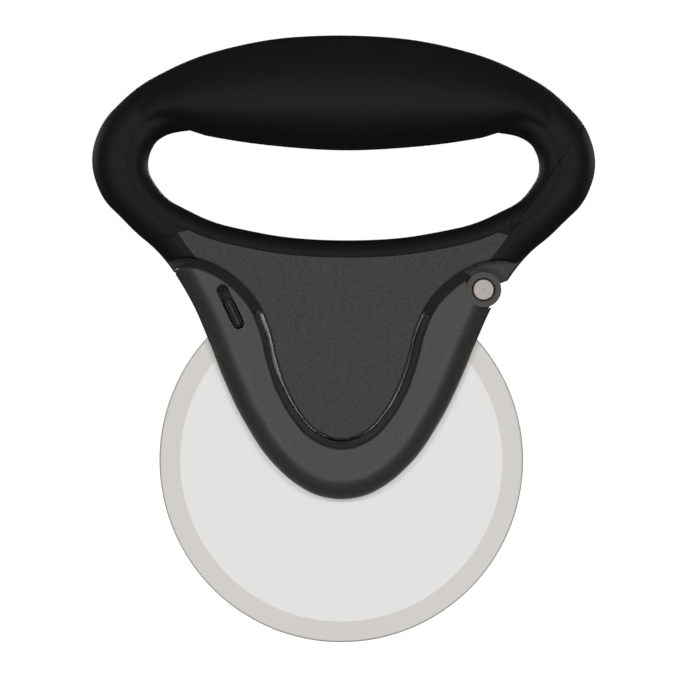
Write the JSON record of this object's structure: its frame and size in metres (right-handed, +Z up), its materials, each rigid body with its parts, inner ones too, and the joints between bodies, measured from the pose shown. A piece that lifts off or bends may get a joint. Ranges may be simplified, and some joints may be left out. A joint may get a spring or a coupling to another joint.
{
  "type": "pizza cutter wheel",
  "caption": "Palm-grip pizza cutter: a looped handle over a round steel wheel held in a U-shaped guard that swings out on a side pin for cleaning.",
  "frame": {"origin": "lowest point of the wheel's cutting edge, on the middle plane", "axes": "+Z up from the cutting edge to the crown of the grip, +X towards the hinge pin, -Y towards the viewer of the front face; the wheel lies in the XZ plane"},
  "size_m": [0.1404, 0.0312, 0.1694],
  "materials": {
    "core_plastic": "fine grained",
    "guard_plastic": "smooth satin",
    "soft_grip": "soft matte",
    "blade_steel": "satin with ground bevel",
    "rivet_steel": "turned satin",
    "bearing_plastic": "smooth"
  },
  "bodies": {
    "handle": {"core_front_shell": "core_plastic", "core_rear_shell": "core_plastic", "grip_sleeve": "soft_grip", "hinge_post": "rivet_steel", "hinge_cap": "rivet_steel"},
    "guard": {"guard_front_shell": "guard_plastic", "guard_rear_shell": "guard_plastic", "axle_pin": "rivet_steel"},
    "wheel": {"cutting_wheel": "blade_steel", "hub_front": "bearing_plastic", "hub_rear": "bearing_plastic"},
    "lock": {"lock_slider": "guard_plastic"}
  },
  "joints": [
    {"name": "guard_swing", "type": "hinge", "parent": "handle", "child": "guard", "pos_m": [0.0392, 0, 0.0987], "axis": [0, -1, 0], "range_deg": [0, 80]},
    {"name": "wheel_spin", "type": "hinge", "parent": "guard", "child": "wheel", "pos_m": [0, 0, 0.0508], "axis": [0, 1, 0], "continuous": true},
    {"name": "lock_slide", "type": "slide", "parent": "guard", "child": "lock", "axis": [-0.4415, 0, 0.8973], "range_m": [0, 0.0042]}
  ]
}
